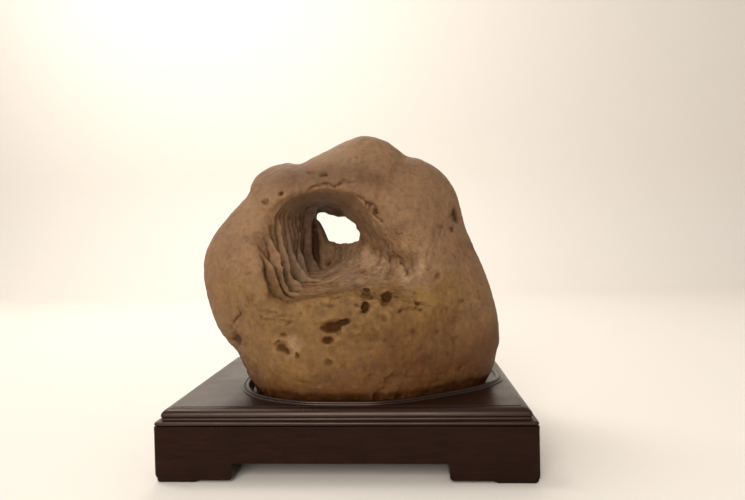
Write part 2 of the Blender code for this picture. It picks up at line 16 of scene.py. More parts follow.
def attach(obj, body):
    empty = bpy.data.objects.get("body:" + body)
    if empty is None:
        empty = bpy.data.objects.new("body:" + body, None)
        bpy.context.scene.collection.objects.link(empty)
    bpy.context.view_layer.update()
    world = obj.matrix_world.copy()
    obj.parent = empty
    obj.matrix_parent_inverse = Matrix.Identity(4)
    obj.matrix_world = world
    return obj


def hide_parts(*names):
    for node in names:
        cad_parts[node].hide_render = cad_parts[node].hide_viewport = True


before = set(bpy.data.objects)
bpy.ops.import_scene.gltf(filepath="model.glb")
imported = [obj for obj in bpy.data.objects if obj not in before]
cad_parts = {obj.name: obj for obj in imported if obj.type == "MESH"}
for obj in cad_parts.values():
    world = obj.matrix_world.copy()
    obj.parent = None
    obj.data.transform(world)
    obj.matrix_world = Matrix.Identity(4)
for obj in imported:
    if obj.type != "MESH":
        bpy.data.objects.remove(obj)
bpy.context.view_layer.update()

MM = 0.001

# ==== The stone ===========================================================================
# One weathered boulder of hard brown stone, worn by water into a leaning ring.  A
# funnel opens its face: thin ledges stand on the left wall, the right wall is crumbled,
# and the narrow end comes out at the back as a window.  It stands loose in its seat.

SEAT_LEVEL = 57.0           # underside of the stone's foot
STONE_VOXEL = 1.45          # spacing of the even net that the surface is worn in
STONE_TRIANGLES = 190000


def smooth_step(low, high, value):
    """0 at low, 1 at high, eased at both ends."""
    t = np.clip((value - low) / (high - low), 0.0, 1.0)
    return t * t * (3.0 - 2.0 * t)


def smooth_max(a, b, blend):
    """The greater of two distances, rounded off where they are about equal."""
    h = np.clip(0.5 + 0.5 * (a - b) / blend, 0.0, 1.0)
    return b * (1.0 - h) + a * h + blend * h * (1.0 - h)


def smooth_min(a, b, blend):
    return -smooth_max(-a, -b, blend)


def closed_curve(points, steps=12):
    """A smooth closed curve through the points (Catmull-Rom)."""
    p = np.array(points, dtype=float)
    before, after, later = np.roll(p, 1, 0), np.roll(p, -1, 0), np.roll(p, -2, 0)
    curve = []
    for t in np.arange(steps) / steps:
        curve.append(0.5 * (2 * p + (after - before) * t
                            + (2 * before - 5 * p + 4 * after - later) * t ** 2
                            + (3 * p - before - 3 * after + later) * t ** 3))
    return np.stack(curve, 1).reshape(-1, 2)


def polar_table(points, centre):
    """Angles and radii, about a centre, of the smooth curve through the points."""
    rel = closed_curve(points) - np.array(centre)
    angle = np.arctan2(rel[:, 1], rel[:, 0])
    order = np.argsort(angle)
    return angle[order], np.hypot(rel[:, 0], rel[:, 1])[order]


def radius_at(table, angle):
    return np.interp(angle, table[0], table[1], period=2.0 * pi)


NOISE_CELLS = 16            # the random swells repeat after so many lumps


def lump_noise(x, y, z, size, seed):
    """A smooth random swell between -1 and 1, with lumps of about the given size."""
    table = np.random.default_rng(seed).uniform(-1.0, 1.0, (NOISE_CELLS,) * 3)
    cells, shares = [], []
    for value in (x, y, z):
        whole = np.floor(value / size)
        share = value / size - whole
        cells.append(whole.astype(int) % NOISE_CELLS)
        shares.append(share * share * (3.0 - 2.0 * share))
    nexts = [(cell + 1) % NOISE_CELLS for cell in cells]
    u, v, w = shares
    near, far = [], []
    for i, layer in ((cells[0], near), (nexts[0], far)):
        for k in (cells[2], nexts[2]):
            layer.append(table[i, cells[1], k] * (1 - v) + table[i, nexts[1], k] * v)
    low = near[0] * (1 - w) + near[1] * w
    high = far[0] * (1 - w) + far[1] * w
    return low * (1 - u) + high * u


# Outline from the front (x, z), about the core.  It runs on below the seat's level, where
# the foot is cut flat.
CORE = (0.0, 168.0)
OUTLINE = (
    (17, 303.5), (37, 297), (50, 287.5), (58, 281.5), (71, 278), (86, 270), (97, 259.5),
    (105, 245), (109.5, 229), (113.5, 213), (124, 190), (132.5, 167), (139.5, 142),
    (144.5, 120), (145.5, 98), (141, 83), (135, 67), (114, 40), (70, 20), (14, 14),
    (-50, 20), (-84, 42), (-99, 65), (-109.5, 86), (-120, 101), (-133, 118), (-141.5, 141),
    (-146, 168), (-144, 189.5), (-133.5, 209.5), (-119, 226.5), (-106, 240), (-98.5, 249),
    (-96.5, 258), (-90.5, 267.5), (-79, 275.5), (-64, 279.5), (-48, 279), (-33, 285.5),
    (-16, 292), (1, 299),
)
BODY_POWER = 2.5            # 2 is an ellipse in depth, more is fuller
FRONT_DEPTH = (110.0, 72.0)    # at the seat and at the crown
BACK_DEPTH = (98.0, 62.0)
RIGHT_RECESS = 0.36         # how far the front falls back towards the right flank
RECESS_FROM, RECESS_TO = 15.0, 135.0    # from x to x
CROWN_LEVEL = 300.0

# The hollow: its mouth and its narrow neck, as outlines (x, z) at two depths.
MOUTH_Y, NECK_Y, BACK_Y = -72.0, 46.0, 95.0
NECK_SKEW = 42.0            # how much nearer the front the window's right side stands
SKEW_FROM, SKEW_TO = -38.0, 12.0        # from x to x
MOUTH_CENTRE, NECK_CENTRE = (2.0, 196.0), (-19.0, 211.0)
MOUTH = ((-67, 211), (-67, 181), (-62, 160), (-49, 149), (-33, 153), (-6, 156), (33, 156),
         (60, 156), (69, 167), (55, 189), (41, 206), (31, 223), (13, 240), (-8, 246),
         (-36, 245), (-57, 236))
NECK = ((-42, 230.5), (-42.5, 222), (-41, 213), (-40.5, 206), (-37.5, 202), (-31, 200.5),
        (-22, 196), (-14, 195.5), (-2, 196.5), (6.5, 199.5), (8, 207), (5, 215.5),
        (-1, 221.5), (-12, 225), (-30, 229))
BACK_FLARE = 1.75           # the back mouth's size against the neck's

# How the hollow opens from the neck to the mouth: 1 is a straight funnel, less is wide at
# once, more opens late.  Below and above take away from 1, left and right add to it.
OPENS_BELOW, OPENS_ABOVE, OPENS_LEFT, OPENS_RIGHT = 0.85, 0.3, 0.25, 0.5

LEFT_RECESS = 6.5           # how deep the left wall is worn back behind the folds
STRATA_DEPTH, STRATA_SPACING = 2.4, 9.0     # the thin layers between the folds
STRATA_WAVE, STRATA_WAVE_LENGTH = 3.0, 11.0
RIM_LEAST, RIM_BELOW, RIM_RIGHT = 16.0, 13.0, 20.0  # the mouth's rounding, and what adds to it

# Thin folds on the hollow's left wall: depth (y), half thickness, and the crest seen from
# the front as (x, z) points from top to bottom.
FOLD_CENTRE = (-8.0, 203.0)
FOLD_LEAN = 0.12            # how far forward a fold leans for each step up
FOLD_MIDDLE = 190.0         # height at which a fold stands at its own depth
FOLD_WAVE, FOLD_WAVE_LENGTH = 1.6, 13.0
FOLD_GROWTH, FOLD_ROOT = 0.14, 14.0     # thicker by so much, over so far behind the crest
FOLDS = (
    (-70, 2.0, ((-84, 200), (-73, 190), (-64, 177), (-57, 154), (-45, 145), (-31, 142),
                (-22, 136))),
    (-60, 1.7, ((-76, 214), (-67, 202), (-60.5, 188), (-57.5, 176), (-52.5, 154), (-45, 152),
                (-34, 144))),
    (-42, 2.1, ((-67, 228), (-60.5, 216), (-56.5, 186), (-46, 161), (-42, 155), (-30, 146))),
    (-20, 2.5, ((-46, 246), (-56, 232), (-61, 220), (-57, 200), (-50, 177), (-42, 163.5),
                (-30, 161.5), (-18, 158.5), (-6, 150))),
    (2, 1.6, ((-60, 207), (-53.4, 199.5), (-49.3, 182), (-44.2, 163.8), (-34, 152))),
    (28, 6.0, ((-32, 241), (-38, 233), (-44, 205), (-40.5, 176), (-31.5, 163), (-20, 150))),
)

# The deep pocket between two of the folds, low on the left.
POCKET, POCKET_SIZE = (-64.0, -51.0, 168.0), (13.0, 5.5, 17.0)

# The tongue of stone in the window's lower left corner, the lump that joins its foot to
# the sill, and the slot beside it.
TONGUE, TONGUE_SIZE = (-34.0, 36.0, 190.0), (5.2, 8.0, 33.0)
TONGUE_LEAN, TONGUE_BEND = 0.3, 200.0   # it leans to the left above the bend
TONGUE_FOOT, TONGUE_FOOT_SIZE = (-25.0, 37.0, 187.0), (8.0, 9.0, 12.0)
SLOT, SLOT_SIZE = (-41.0, 43.0, 199.0), (2.2, 11.0, 19.0)

# Pits on the front face: x, z, half width, half height, depth.
PITS = (
    (-10, 126, 9.5, 5.2, 5.0), (0, 130, 5, 3.5, 3.5), (-13.5, 115.5, 5.5, 3.8, 4.0),
    (24.5, 117.5, 9, 6, 2.0), (-55, 108.5, 6.5, 4.5, 3.2), (-49, 104.5, 3.5, 3, 3.0),
    (-41, 102, 2.8, 3, 2.6), (-12, 96, 4, 3.2, 2.4), (-28, 92, 3.5, 7, 1.6),
    (37, 149, 4.8, 5.4, 5.0), (20, 151.5, 5.4, 3.6, 2.6), (18.5, 141, 3.8, 4.2, 3.6),
    (4.5, 132, 4, 3, 2.4), (-84, 148, 4, 6.5, 1.8), (-100, 111.5, 6, 7, 3.0),
    (-70.5, 126, 6.5, 6, 1.5), (-13, 158, 7, 3.4, 1.8), (84, 165, 4, 3, 1.6),
    (103, 143, 3, 3.5, 1.6), (58, 141, 16, 2.4, 1.4), (-52, 119, 6, 2.2, 1.4),
    (-56, 136, 9, 1.8, 1.8), (-50, 130.5, 8, 1.6, 1.6),
    (104, 222, 6, 9, 5.0), (98, 208, 3, 4, 2.6), (86, 211, 2.6, 3.2, 2.0),
    (-73, 236, 3, 3.2, 2.6), (-58, 243.5, 3, 2.6, 2.4), (-30, 262, 4.5, 2.6, 1.8),
    (-18, 260, 4, 2.6, 2.0), (12, 277, 3, 2.6, 1.4), (118, 128, 9, 6, 1.6),
    (72, 92, 12, 8, 1.4),
)
FACE_FROM, FACE_TO = -10.0, -35.0       # depths (y) between which the front face begins

# The rough, broken ground at the hollow's lower right, as (x, z).
CRUMBLY, CRUMBLY_SIZE = (40.0, 180.0), (44.0, 36.0)


def boulder(x, y, z):
    """Distance outside the whole boulder, before anything is worn out of it."""
    dx, dz = x - CORE[0], z - CORE[1]
    reach = np.hypot(dx, dz)
    edge = radius_at(BOULDER_EDGE, np.arctan2(dz, dx))
    height = np.clip((z - SEAT_LEVEL) / (CROWN_LEVEL - SEAT_LEVEL), 0.0, 1.0)
    front = FRONT_DEPTH[0] + (FRONT_DEPTH[1] - FRONT_DEPTH[0]) * height
    back = BACK_DEPTH[0] + (BACK_DEPTH[1] - BACK_DEPTH[0]) * height
    flank = smooth_step(RECESS_FROM, RECESS_TO, x)
    front = front * (1.0 - RIGHT_RECESS * (1.0 - 0.5 * height) * flank)
    half = np.where(y < 0, front, back)
    stretch = (reach / edge) ** BODY_POWER + np.abs(y / half) ** BODY_POWER
    stretch = np.maximum(stretch, 1e-9) ** (1.0 / BODY_POWER)
    span = np.sqrt(reach ** 2 + y ** 2)
    return span - span / stretch


def neck_depth(x):
    """The window stands askew: its right side is nearer the front than its left."""
    return NECK_Y - NECK_SKEW * smooth_step(SKEW_FROM, SKEW_TO, x)


def hollow_section(x, y):
    """Centre (x, z) of the hollow at a depth, and its share of the way to the mouth."""
    neck = neck_depth(x)
    share = np.clip((neck - y) / (neck - MOUTH_Y), 0.0, 1.0)
    centre_x = NECK_CENTRE[0] + (MOUTH_CENTRE[0] - NECK_CENTRE[0]) * share
    centre_z = NECK_CENTRE[1] + (MOUTH_CENTRE[1] - NECK_CENTRE[1]) * share
    return centre_x, centre_z, share


def hollow_radius(angle, x, y, share):
    """Half width of the hollow towards an angle: wide at once below, opening late right."""
    near = radius_at(MOUTH_EDGE, angle)
    far = radius_at(NECK_EDGE, angle)
    up, right = np.sin(angle), np.cos(angle)
    bowl = 1.0 - OPENS_BELOW * smooth_step(-0.1, 0.9, -up) - OPENS_ABOVE * smooth_step(0.2, 1.0, up)
    bowl = bowl + OPENS_LEFT * smooth_step(0.6, 1.0, -right)
    bowl = bowl + OPENS_RIGHT * smooth_step(0.2, 0.9, right)
    neck = neck_depth(x)
    flare = 1.0 + (BACK_FLARE - 1.0) * np.clip((y - neck) / (BACK_Y - neck), 0, 1.2) ** 1.5
    return (far + (near - far) * share ** bowl) * flare


def fold_edge(points):
    """A fold's crest as angles and radii about the folds' centre."""
    rel = np.array(points, dtype=float) - np.array(FOLD_CENTRE)
    return np.mod(np.arctan2(rel[:, 1], rel[:, 0]), 2.0 * pi), np.hypot(rel[:, 0], rel[:, 1])


def folds(x, y, z):
    """Distance outside the folds, which grow thicker towards the wall behind them."""
    dx, dz = x - FOLD_CENTRE[0], z - FOLD_CENTRE[1]
    reach = np.hypot(dx, dz)
    angle = np.mod(np.arctan2(dz, dx), 2.0 * pi)
    nearest = np.full(x.shape, 99.0)
    for (depth, thickness, _), (angles, radii) in zip(FOLDS, FOLD_EDGES):
        beyond = radii.max() + 60.0     # past its ends the fold is buried in the wall
        crest = np.interp(angle, angles, radii, left=beyond, right=beyond)
        wave = FOLD_WAVE * np.sin(z / FOLD_WAVE_LENGTH + depth)
        off = np.abs(y - depth + FOLD_LEAN * (z - FOLD_MIDDLE) + wave)
        wedge = thickness + FOLD_GROWTH * np.clip(reach - crest, 0.0, FOLD_ROOT)
        nearest = smooth_min(nearest, smooth_max(crest - reach, off - wedge, 2.4), 2.0)
    return nearest


def hollow(x, y, z):
    """Distance outside the hollow's space; negative inside it."""
    centre_x, centre_z, share = hollow_section(x, y)
    dx, dz = x - centre_x, z - centre_z
    angle = np.arctan2(dz, dx)
    left = smooth_step(0.05, 0.75, np.cos(angle - pi * 1.07)) * smooth_step(241.0, 222.0, z)
    recess = LEFT_RECESS * left * smooth_step(-86.0, -70.0, y) * smooth_step(44.0, 30.0, y)
    strata = smooth_step(0.15, 0.85, np.cos(angle - pi * 1.12)) * smooth_step(-74.0, -56.0, y)
    wavy_y = y + FOLD_LEAN * z + STRATA_WAVE * np.sin(z / STRATA_WAVE_LENGTH)
    layers = np.abs(np.sin(pi * wavy_y / STRATA_SPACING))
    strata = strata * (1.0 - layers) ** 1.5 * smooth_step(40.0, 20.0, y)
    recess = recess - STRATA_DEPTH * strata
    return np.hypot(dx, dz) - hollow_radius(angle, x, y, share) - recess


def oval(x, y, z, centre, size):
    """Rough distance outside an egg-shaped solid."""
    spread = ((x - centre[0]) / size[0]) ** 2 + ((y - centre[1]) / size[1]) ** 2
    return (np.sqrt(spread + ((z - centre[2]) / size[2]) ** 2) - 1.0) * min(size)


def pits(x, y, z):
    """How deep the pits go in from the front face."""
    depth = 0.0
    for pit_x, pit_z, half_width, half_height, deep in PITS:
        off = ((x - pit_x) / half_width) ** 2 + ((z - pit_z) / half_height) ** 2
        depth = depth + deep * np.exp(-off ** 2 * 0.9)
    return smooth_step(FACE_FROM, FACE_TO, y) * depth


def crumbly(x, y, z):
    """Strength of the rough, broken ground at the hollow's lower right."""
    off_x, off_z = (x - CRUMBLY[0]) / CRUMBLY_SIZE[0], (z - CRUMBLY[1]) / CRUMBLY_SIZE[1]
    return np.exp(-(off_x ** 2 + off_z ** 2) ** 2) * smooth_step(30.0, 10.0, y)


def crumbs(x, y, z):
    """Upright drips and broken cells on the crumbly ground; above 0 is hollowed out."""
    drips = np.abs(lump_noise(x, 0.6 * y, 0.45 * z, 9.0, 61)) - 0.25
    cells = smooth_step(0.0, 0.85, lump_noise(x, 0.6 * y, z, 9.5, 62))
    grit = lump_noise(x, y, z, 5.0, 63)
    return 2.4 * drips + 1.8 * cells + 0.5 * grit


def rim_blend(x, z):
    """How softly the face turns into the hollow: least so on the left and above."""
    angle = np.arctan2(z - MOUTH_CENTRE[1], x - MOUTH_CENTRE[0])
    below = smooth_step(-0.2, 1.0, -np.sin(angle))
    right = smooth_step(0.1, 1.0, np.cos(angle))
    return RIM_LEAST + RIM_BELOW * below + RIM_RIGHT * right


# Creases and scratches on the face: x, z, half length, half width, tilt in degrees, depth.
CREASES = (
    (-8, 251, 26, 1.6, 6, 1.5), (-28, 240, 15, 1.4, 14, 1.2), (21, 233, 9, 1.5, -38, 2.2),
    (27, 227, 8, 1.5, -34, 2.4), (32, 219, 8, 1.3, -50, 2.0), (-66, 140, 10, 1.2, -4, 1.4),
    (-63, 133, 12, 1.2, -6, 1.4), (60, 140, 14, 1.3, 4, 1.5), (86, 132, 12, 1.4, 40, 1.3),
    (-96, 138, 14, 1.8, 78, 1.6), (-101, 128, 9, 1.6, 60, 1.4), (86, 205, 14, 1.3, 70, 1.4),
    (79, 196, 11, 1.2, 64, 1.2), (46, 186, 12, 1.4, -62, 2.0), (52, 172, 9, 1.6, -80, 2.2),
    (39, 176, 10, 1.4, 84, 2.0), (30, 168, 8, 1.2, 76, 1.6), (60, 120, 18, 1.2, 24, 1.0),
    (94, 110, 14, 1.2, -50, 1.0), (-26, 78, 20, 1.4, 3, 1.0), (40, 82, 24, 1.3, -5, 1.0),
)


def creases(x, y, z):
    """How deep the creases cut into the front face."""
    depth = 0.0
    for at_x, at_z, length, width, tilt, deep in CREASES:
        turn = radians(tilt)
        along = (x - at_x) * cos(turn) + (z - at_z) * sin(turn)
        across = (z - at_z) * cos(turn) - (x - at_x) * sin(turn)
        depth = depth + deep * np.exp(-(along / length) ** 4 - (across / width) ** 2)
    return smooth_step(FACE_FROM, FACE_TO, y) * depth


def fine_relief(x, y, z):
    """Small lumps, chips and holes, strongest on the belly, weakest on the flanks."""
    belly = smooth_step(176.0, 138.0, z + 10.0 * lump_noise(x, y, z, 30.0, 41))
    rough = (0.4 + 0.45 * belly) * (1.0 - 0.6 * smooth_step(108.0, 140.0, np.abs(x)))
    value = rough * (lump_noise(x, y, z, 15.0, 42) + 0.8 * lump_noise(x, y, z, 7.5, 43)
                     + 0.65 * lump_noise(x, y, z, 4.4, 44))
    patches = smooth_step(-0.25, 0.4, lump_noise(x, y, z, 34.0, 45)) * belly
    patches = patches * (1.0 - smooth_step(100.0, 135.0, np.abs(x)))
    holes = smooth_step(0.15, 0.85, lump_noise(x, y, z, 9.0, 46))
    chips = smooth_step(0.2, 0.85, lump_noise(x, y, z, 6.0, 51))
    return value + (2.0 * patches + 0.3) * holes + (1.1 * patches + 0.2) * chips


def tongue(x, y, z):
    """Distance outside the tongue in the window, which leans to the left at its top."""
    leaning = x + TONGUE_LEAN * np.maximum(z - TONGUE_BEND, 0.0)
    return oval(leaning, y, z, TONGUE, TONGUE_SIZE)


def stone_field(x, y, z):
    """Distance outside the stone's surface, in millimetres."""
    warp_x = 2.6 * lump_noise(x, y, z, 8.5, 47) + 1.4 * lump_noise(x, y, z, 4.4, 48)
    warp_z = 2.6 * lump_noise(x, y, z, 8.5, 49) + 1.4 * lump_noise(x, y, z, 4.4, 50)
    solid = boulder(x, y, z)
    solid = solid + 2.2 * lump_noise(x, y, z, 58.0, 3) + 1.2 * lump_noise(x, y, z, 27.0, 5)
    ragged = 0.2 + 0.35 * smooth_step(-15.0, 15.0, y)       # most at the window's edge
    space = hollow(x + ragged * warp_x, y, z + ragged * warp_z)
    solid = smooth_max(solid, -space, rim_blend(x, z))
    folded = smooth_max(folds(x, y, z), boulder(x, y, z) + 1.0, 2.0)
    solid = smooth_min(solid, folded, 2.5)
    solid = smooth_min(solid, tongue(x, y, z), 3.0)
    solid = smooth_min(solid, oval(x, y, z, TONGUE_FOOT, TONGUE_FOOT_SIZE), 4.0)
    solid = smooth_max(solid, -oval(x, y, z, SLOT, SLOT_SIZE), 1.5)
    solid = smooth_max(solid, -oval(x, y, z, POCKET, POCKET_SIZE), 2.0)
    solid = solid + crumbly(x, y, z) * crumbs(x, y, z)
    solid = solid + pits(x + warp_x, y, z + warp_z) + creases(x + warp_x, y, z + warp_z)
    lowered_crown = 0.7 * smooth_step(294.0, 303.0, z)
    solid = solid + fine_relief(x, y, z) + lowered_crown
    return smooth_max(solid, SEAT_LEVEL - z, 1.5)


BOULDER_EDGE = polar_table(OUTLINE, CORE)
MOUTH_EDGE = polar_table(MOUTH, MOUTH_CENTRE)
NECK_EDGE = polar_table(NECK, NECK_CENTRE)
FOLD_EDGES = [fold_edge(points) for _, _, points in FOLDS]


def coordinates(mesh):
    """The corners' places in millimetres, one row each."""
    flat = np.empty(len(mesh.vertices) * 3)
    mesh.vertices.foreach_get("co", flat)
    return flat.reshape(-1, 3) / MM


def set_coordinates(mesh, p):
    mesh.vertices.foreach_set("co", (p * MM).ravel())
    mesh.update()


def apply_modifiers(thing):
    """Give the object the mesh that its modifiers make of it."""
    graph = bpy.context.evaluated_depsgraph_get()
    mesh = bpy.data.meshes.new_from_object(thing.evaluated_get(graph), depsgraph=graph)
    thing.modifiers.clear()
    thing.data = mesh


def remesh(thing, voxel):
    """Cover the object's surface with an even net of the given spacing."""
    modifier = thing.modifiers.new("even", "REMESH")
    modifier.mode = "VOXEL"
    modifier.voxel_size = voxel * MM
    apply_modifiers(thing)


def settle(mesh, tries=3):
    """Move every vertex along the field's slope until it lies on the stone's surface."""
    nudge, least_slope, longest_step = 0.5, 0.4, 2.5
    p = coordinates(mesh)
    value = stone_field(*p.T)
    slope = np.stack([stone_field(*(p + nudge * axis).T) - value for axis in np.eye(3)], 1) / nudge
    length = np.maximum(np.linalg.norm(slope, axis=1), least_slope)
    way = slope / length[:, None]
    for _ in range(tries):
        p = p - way * np.clip(value / length, -longest_step, longest_step)[:, None]
        value = stone_field(*p.T)
    set_coordinates(mesh, p)


def normals_of(mesh):
    flat = np.empty(len(mesh.vertices) * 3, dtype=np.float32)
    mesh.vertex_normals.foreach_get("vector", flat)
    return flat.reshape(-1, 3).astype(float)


def hollowness(mesh, rounds):
    """How far each vertex lies under the average of its surroundings, in millimetres."""
    p, normal = coordinates(mesh), normals_of(mesh)
    ends = np.empty(len(mesh.edges) * 2, dtype=np.int32)
    mesh.edges.foreach_get("vertices", ends)
    a, b = ends.reshape(-1, 2).T
    count = np.bincount(a, minlength=len(p)) + np.bincount(b, minlength=len(p))
    soft = p.copy()
    for _ in range(rounds):
        total = np.stack([np.bincount(a, soft[b, i], len(p)) + np.bincount(b, soft[a, i], len(p))
                          for i in range(3)], 1)
        soft = total / count[:, None]
    return np.sum((soft - p) * normal, axis=1)


def write_layer(mesh, name, values):
    """Keep a share from 0 to 1 at each corner, for the finish to read."""
    layer = mesh.attributes.new(name, "FLOAT", "POINT")
    layer.data.foreach_set("value", np.clip(values, 0.0, 1.0).astype(np.float32))


def make_stone():
    """The solid stone's surface, netted evenly, worn to the field above, and thinned."""
    stone = bpy.data.objects.new("weathered_stone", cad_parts["stone"].data.copy())
    bpy.context.scene.collection.objects.link(stone)
    voxel = STONE_VOXEL * 1.0
    for _ in range(2):
        remesh(stone, voxel)
        settle(stone.data)
    untangle = stone.modifiers.new("untangle", "SMOOTH")
    untangle.factor, untangle.iterations = 0.5, 2
    apply_modifiers(stone)
    settle(stone.data, 1)
    thin = stone.modifiers.new("thin", "DECIMATE")
    thin.ratio = min(1.0, STONE_TRIANGLES / (2.0 * len(stone.data.polygons)))
    apply_modifiers(stone)
    stone.data.shade_smooth()
    return stone


stone = make_stone()


# Pale, chalky patches on the crumbly ground: x, z, half width, half height.
PALE_PATCHES = ((13, 182, 9, 14), (56, 165, 8, 12), (67, 172, 4, 11), (33, 172, 6, 10),
                (22, 176, 6, 9))
CRUST, CRUST_SIZE = (-44.0, 111.0), (8.0, 9.0)     # a pale crust among the pits


def pale_patches(x, z):
    """Strength of the chalky patches, seen from the front."""
    strength = 0.0
    for at_x, at_z, half_width, half_height in PALE_PATCHES:
        off = ((x - at_x) / half_width) ** 2 + ((z - at_z) / half_height) ** 2
        strength = strength + np.exp(-off ** 2)
    return strength


def paint_layers(mesh):
    """Write where the stone is ochre, rusty, grey, pale or broken, where grime and painted shade
    darken it, where the brow takes painted shade, and where wear and a painted highlight make it
    paler.
    """
    x, y, z = coordinates(mesh).T
    drift = 14.0 * lump_noise(x, y, z, 34.0, 21) + 6.0 * lump_noise(x, y, z, 13.0, 22)
    centre_x, centre_z, share = hollow_section(x, y)
    angle = np.arctan2(z - centre_z, x - centre_x)
    reach = np.hypot(x - centre_x, z - centre_z)
    wall = hollow_radius(angle, x, y, share)
    inside = smooth_step(12.0, 0.0, reach - wall) * smooth_step(-72.0, -48.0, y)
    rough = crumbly(x, y, z)
    write_layer(mesh, "crumbly", rough)
    write_layer(mesh, "inside", inside * (1.0 - rough))
    floor = smooth_step(0.4, 0.95, -np.sin(angle))
    front = smooth_step(10.0, -40.0, y)

    ochre = smooth_step(177.0, 153.0, z + 0.7 * drift) * (0.35 + 0.65 * front)
    ochre = ochre * (1.0 - 0.5 * smooth_step(-30.0, -95.0, x + drift))
    write_layer(mesh, "ochre", ochre * (1.0 - 0.7 * smooth_step(70.0, 130.0, x + drift)))
    rust = smooth_step(150.0, 92.0, z + drift) * smooth_step(-45.0, 60.0, x + drift)
    low = z + 0.6 * drift + 16.0 * smooth_step(10.0, -60.0, x)
    write_layer(mesh, "rust", np.maximum(rust, 0.95 * smooth_step(112.0, 82.0, low)))
    left = smooth_step(-0.15, 0.6, -np.cos(angle)) * (1.0 - floor)
    on_tongue = smooth_step(3.5, 0.5, tongue(x, y, z))
    write_layer(mesh, "grey", inside * left * smooth_step(-60.0, 10.0, y) * (1.0 - 0.7 * on_tongue))

    ragged_x = x + 3.0 * lump_noise(x, y, z, 7.0, 47)
    patches = pale_patches(ragged_x, z + 4.0 * lump_noise(x, y, z, 9.0, 49))
    drips = smooth_step(0.05, 0.6, lump_noise(x, y, 0.4 * z, 9.0, 31) + 0.1)
    pale = rough * np.maximum(patches, 0.2 * drips)
    # The hollow's upward-facing floor is painted paler: partly dust, partly painted light for the
    # light that falls on it from above and through the window.
    pale = np.maximum(pale, np.maximum(0.75 * floor, 0.3) * inside)
    crust_x, crust_z = (ragged_x - CRUST[0]) / CRUST_SIZE[0], (z - CRUST[1]) / CRUST_SIZE[1]
    crust = np.exp(-(crust_x ** 2 + crust_z ** 2) ** 2)
    write_layer(mesh, "pale", np.maximum(pale, 0.5 * front * crust))

    # Painted shade: the layer written below darkens the crevices, the pits, the hollow's deeper
    # parts and the pocket between the folds, where shade falls; in the pits it is partly real
    # grime.
    shallow = hollowness(mesh, 5)
    crevice_shade = smooth_step(0.15, 1.2, shallow)
    deep = smooth_step(0.6, 4.8, hollowness(mesh, 40))
    pit_grime_and_shade = smooth_step(1.0, 3.6, pits(x + 1.5 * lump_noise(x, y, z, 3.0, 52), y, z))
    shade = inside * np.maximum(0.75 * deep * (1.0 - floor), 0.5 * smooth_step(0.0, 28.0, y))
    shade = np.maximum(shade, 0.75 * smooth_step(4.0, 0.0, oval(x, y, z, POCKET, POCKET_SIZE)))
    # Painted shadow: a dark band round the stone's foot, where it sits in the shade of the lip.
    foot = 0.95 * smooth_step(72.0, 66.5, z + 0.15 * drift)
    write_layer(mesh, "grime_and_shade", np.maximum(np.maximum(crevice_shade, pit_grime_and_shade), np.maximum(shade, foot)))
    # Paler where the surface bulges: partly wear, partly a painted highlight on the convex edges.
    write_layer(mesh, "worn", smooth_step(0.1, 1.0, -shallow))

    # Painted shade: the brow over the hollow is marked to take a darker colour, for the shade it
    # stands in.
    level = z + 0.5 * drift
    brow = smooth_step(236.0, 252.0, level) * smooth_step(276.0, 258.0, level)
    brow = brow * smooth_step(70.0, 15.0, x) * smooth_step(-90.0, -50.0, x)
    write_layer(mesh, "brow", brow * front)


paint_layers(stone.data)


def colour(red, green, blue):
    """Screen values 0 to 255 as the shader's linear colour."""
    return tuple(((v / 255.0) / 12.92 if v <= 10 else ((v / 255.0 + 0.055) / 1.055) ** 2.4)
                 for v in (red, green, blue)) + (1.0,)


